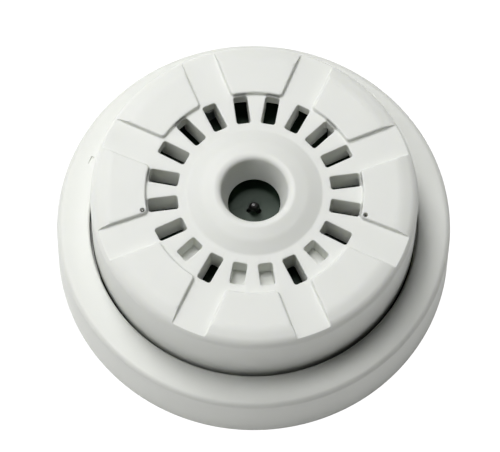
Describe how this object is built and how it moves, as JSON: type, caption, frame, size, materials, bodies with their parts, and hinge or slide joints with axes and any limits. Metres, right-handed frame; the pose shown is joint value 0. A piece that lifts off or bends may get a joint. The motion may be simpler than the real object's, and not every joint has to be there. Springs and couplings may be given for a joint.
{
  "type": "heat detector",
  "caption": "Round ceiling heat detector: a slotted thermistor head with a central sensing opening that twist-locks into a shallow terminal base.",
  "frame": {"origin": "centre of the base's ceiling face", "axes": "+Z out of the ceiling through the middle of the detector's face; +X towards fixing slot 1"},
  "size_m": [0.1, 0.1, 0.0359],
  "materials": {
    "cover_plastic": "fine satin moulded white, slightly warm",
    "base_plastic": "satin moulded white",
    "chassis_plastic": "satin moulded off-white",
    "seal_rubber": "matt black elastomer",
    "board_laminate": "dark green solder mask on glass laminate",
    "component_black": "black moulded package",
    "component_can": "drawn can, satin",
    "epoxy_bead": "dipped black epoxy",
    "led_lens": "tinted moulded lens",
    "clear_plastic": "clear moulded acrylic",
    "spring_bronze": "rolled spring strip",
    "plated_brass": "rolled strip, lightly tarnished",
    "zinc_steel": "bright zinc plate"
  },
  "bodies": {
    "base": {"base_shell": "base_plastic", "contact_plate_1": "spring_bronze", "contact_plate_2": "spring_bronze", "contact_plate_3": "spring_bronze", "contact_plate_4": "spring_bronze"},
    "seal": {"seal_ring": "seal_rubber"},
    "head": {"front_cover": "cover_plastic", "head_chassis": "chassis_plastic", "circuit_board": "board_laminate", "board_chip": "component_black", "board_rectifier": "component_black", "board_capacitor": "component_can", "sensing_thermistor": "epoxy_bead", "reference_thermistor": "epoxy_bead", "status_led_1": "led_lens", "status_led_2": "led_lens", "light_guide_1": "clear_plastic", "light_guide_2": "clear_plastic", "contact_blade_1": "plated_brass", "contact_blade_2": "plated_brass", "contact_blade_3": "plated_brass", "contact_blade_4": "plated_brass", "case_screw_1": "zinc_steel", "case_screw_2": "zinc_steel", "case_screw_3": "zinc_steel"},
    "clamp_1": {"wire_clamp_1": "zinc_steel"},
    "screw_1": {"terminal_screw_1": "zinc_steel"},
    "clamp_2": {"wire_clamp_2": "zinc_steel"},
    "screw_2": {"terminal_screw_2": "zinc_steel"},
    "clamp_3": {"wire_clamp_3": "zinc_steel"},
    "screw_3": {"terminal_screw_3": "zinc_steel"},
    "clamp_4": {"wire_clamp_4": "zinc_steel"},
    "screw_4": {"terminal_screw_4": "zinc_steel"}
  },
  "joints": [
    {"name": "head_pull", "type": "slide", "parent": "base", "child": "seal", "axis": [0, 0, 1], "range_m": [0, 0.025]},
    {"name": "head_twist", "type": "hinge", "parent": "seal", "child": "head", "pos_m": [0, 0, 0.02], "axis": [0, 0, -1], "range_deg": [0, 20]},
    {"name": "clamp_1_lift", "type": "slide", "parent": "base", "child": "clamp_1", "axis": [0, 0, 1], "range_m": [0, 0.0018]},
    {"name": "screw_1_turn", "type": "hinge", "parent": "clamp_1", "child": "screw_1", "pos_m": [0.01909, 0.01909, 0.013], "axis": [0, 0, 1], "range_deg": [0, 1080]},
    {"name": "clamp_2_lift", "type": "slide", "parent": "base", "child": "clamp_2", "axis": [0, 0, 1], "range_m": [0, 0.0018]},
    {"name": "screw_2_turn", "type": "hinge", "parent": "clamp_2", "child": "screw_2", "pos_m": [-0.01909, 0.01909, 0.013], "axis": [0, 0, 1], "range_deg": [0, 1080]},
    {"name": "clamp_3_lift", "type": "slide", "parent": "base", "child": "clamp_3", "axis": [0, 0, 1], "range_m": [0, 0.0018]},
    {"name": "screw_3_turn", "type": "hinge", "parent": "clamp_3", "child": "screw_3", "pos_m": [-0.01909, -0.01909, 0.013], "axis": [0, 0, 1], "range_deg": [0, 1080]},
    {"name": "clamp_4_lift", "type": "slide", "parent": "base", "child": "clamp_4", "axis": [0, 0, 1], "range_m": [0, 0.0018]},
    {"name": "screw_4_turn", "type": "hinge", "parent": "clamp_4", "child": "screw_4", "pos_m": [0.01909, -0.01909, 0.013], "axis": [0, 0, 1], "range_deg": [0, 1080]}
  ],
  "couplings": [
    {"joint": "screw_1_turn", "follows": "clamp_1_lift", "rad_per_m": 10472},
    {"joint": "screw_2_turn", "follows": "clamp_2_lift", "rad_per_m": 10472},
    {"joint": "screw_3_turn", "follows": "clamp_3_lift", "rad_per_m": 10472},
    {"joint": "screw_4_turn", "follows": "clamp_4_lift", "rad_per_m": 10472}
  ]
}
